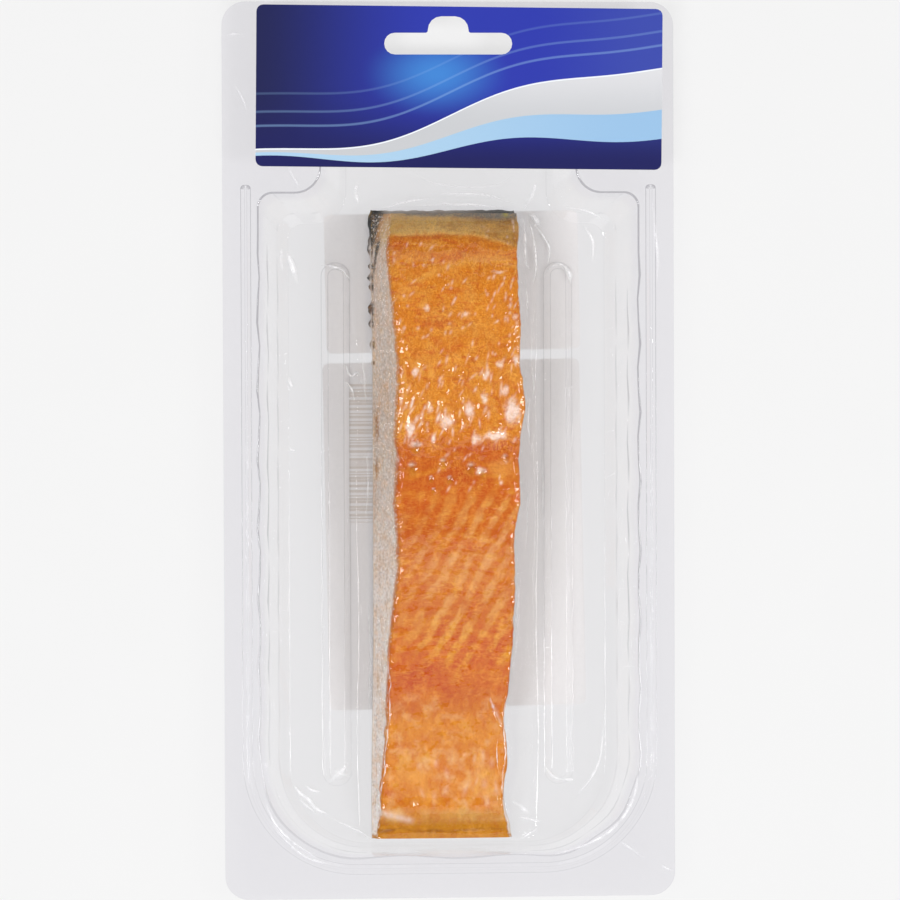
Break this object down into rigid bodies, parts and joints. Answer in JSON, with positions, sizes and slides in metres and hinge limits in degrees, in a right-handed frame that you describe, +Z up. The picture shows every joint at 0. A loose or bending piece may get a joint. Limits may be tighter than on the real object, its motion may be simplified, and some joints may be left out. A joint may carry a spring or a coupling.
{
  "type": "packed hot smoked salmon fillet",
  "caption": "Hot smoked salmon portion lying skin down in a clear formed hanging tray, sealed under clear film, with a plain coloured header label.",
  "frame": {"origin": "on the surface that the pack lies on, under the middle of its outline", "axes": "+X to the right and +Y towards the hang hole as the pack is seen from above, +Z up from its back to its shown side"},
  "size_m": [0.113, 0.224, 0.0293],
  "materials": {
    "tray_plastic": "gloss",
    "film_plastic": "gloss",
    "flesh": "satin",
    "skin": "satin",
    "header_print": "gloss",
    "label_paper": "matte"
  },
  "bodies": {
    "root": {"tray": "tray_plastic", "lidding_film": "film_plastic", "fillet_flesh": "flesh", "fillet_skin": "skin", "header_label": "header_print", "back_label_upper": "label_paper", "back_label_lower": "label_paper"}
  },
  "joints": []
}
